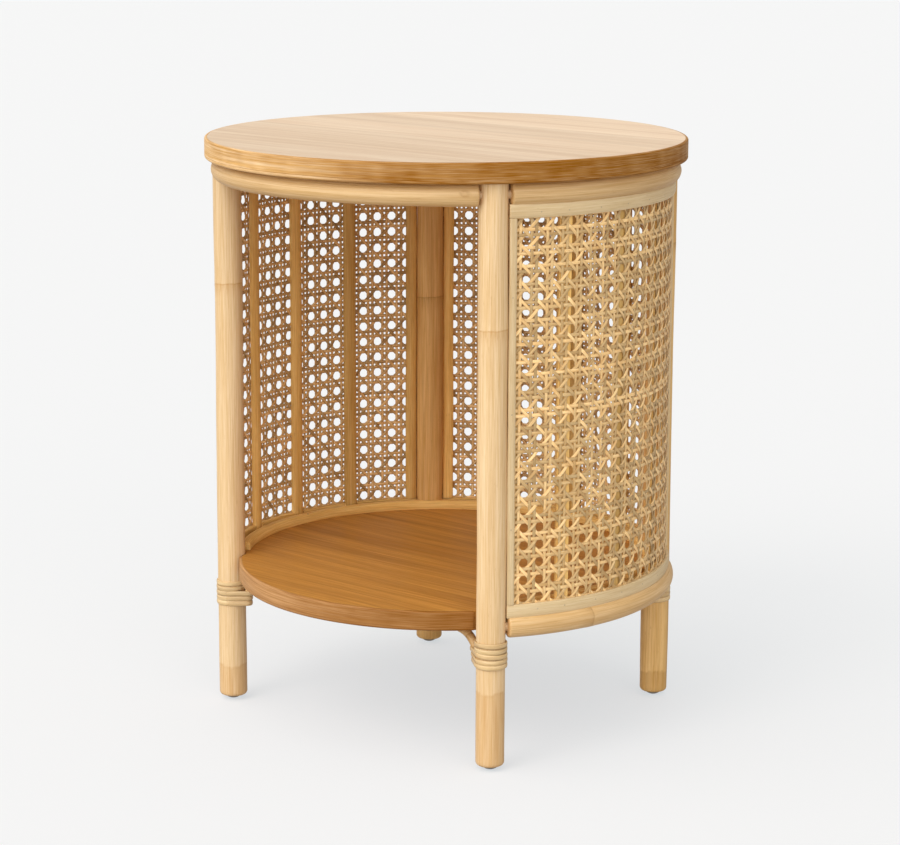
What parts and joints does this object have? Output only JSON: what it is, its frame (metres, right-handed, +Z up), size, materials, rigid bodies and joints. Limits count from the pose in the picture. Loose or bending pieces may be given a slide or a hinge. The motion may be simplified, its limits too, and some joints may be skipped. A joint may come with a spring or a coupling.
{
  "type": "side table",
  "caption": "Round rattan side table on pole legs, with woven cane sides, an open front and a shelf; no drawer.",
  "frame": {"origin": "on the floor under the centre of the round top", "axes": "+Z up; the open front faces -Y; +X is to the right of someone facing +Y"},
  "size_m": [0.45, 0.45, 0.55],
  "materials": {
    "top_veneer": "satin clear lacquer over pale veneer",
    "top_edge": "satin clear lacquer over solid lipping",
    "shelf_veneer": "satin clear lacquer over warm brown veneer",
    "shelf_edge": "satin clear lacquer over solid lipping",
    "leg_pole": "peeled rattan pole, clear satin",
    "rail_pole": "bent rattan pole, clear satin",
    "cane_weave": "natural woven cane webbing",
    "outer_trim": "flat rattan strip, clear matt",
    "inner_strip": "split rattan strip, clear matt",
    "rattan_peel": "wound rattan peel with its glossy skin",
    "dowel_wood": "plain turned hardwood",
    "glide_plastic": "grey-brown nylon",
    "steel_fixings": "plain bright steel"
  },
  "bodies": {
    "root": {"table_top": "top_veneer", "top_lipping": "top_edge", "shelf": "shelf_veneer", "shelf_lipping": "shelf_edge", "leg_front_left": "leg_pole", "leg_front_right": "leg_pole", "leg_back_right": "leg_pole", "leg_back_left": "leg_pole", "top_rail_right": "rail_pole", "top_rail_back": "rail_pole", "top_rail_left": "rail_pole", "top_rail_front": "rail_pole", "bottom_rail_right": "rail_pole", "bottom_rail_back": "rail_pole", "bottom_rail_left": "rail_pole", "cane_right": "cane_weave", "cane_back": "cane_weave", "cane_left": "cane_weave", "outer_top_trim_right": "outer_trim", "outer_top_trim_back": "outer_trim", "outer_top_trim_left": "outer_trim", "outer_bottom_trim_right": "outer_trim", "outer_bottom_trim_back": "outer_trim", "outer_bottom_trim_left": "outer_trim", "outer_side_trims_right": "outer_trim", "outer_side_trims_back": "outer_trim", "outer_side_trims_left": "outer_trim", "slats_right": "inner_strip", "slats_back": "inner_strip", "slats_left": "inner_strip", "edge_strips_right": "inner_strip", "edge_strips_back": "inner_strip", "edge_strips_left": "inner_strip", "inner_bottom_trims_right": "inner_strip", "inner_bottom_trims_back": "inner_strip", "inner_bottom_trims_left": "inner_strip", "inner_top_trims_right": "inner_strip", "inner_top_trims_back": "inner_strip", "inner_top_trims_left": "inner_strip", "shelf_bead": "inner_strip", "brace_front_left": "rail_pole", "brace_front_right": "rail_pole", "brace_back_right": "rail_pole", "brace_back_left": "rail_pole", "binding_front_left": "rattan_peel", "binding_front_right": "rattan_peel", "binding_back_right": "rattan_peel", "binding_back_left": "rattan_peel", "glide_front_left": "glide_plastic", "glide_front_right": "glide_plastic", "glide_back_right": "glide_plastic", "glide_back_left": "glide_plastic", "rail_dowels": "dowel_wood", "leg_dowels": "dowel_wood", "shelf_dowels": "dowel_wood", "top_screws": "steel_fixings", "trim_pins": "steel_fixings", "bead_pins": "steel_fixings", "brace_nails": "steel_fixings"}
  },
  "joints": []
}
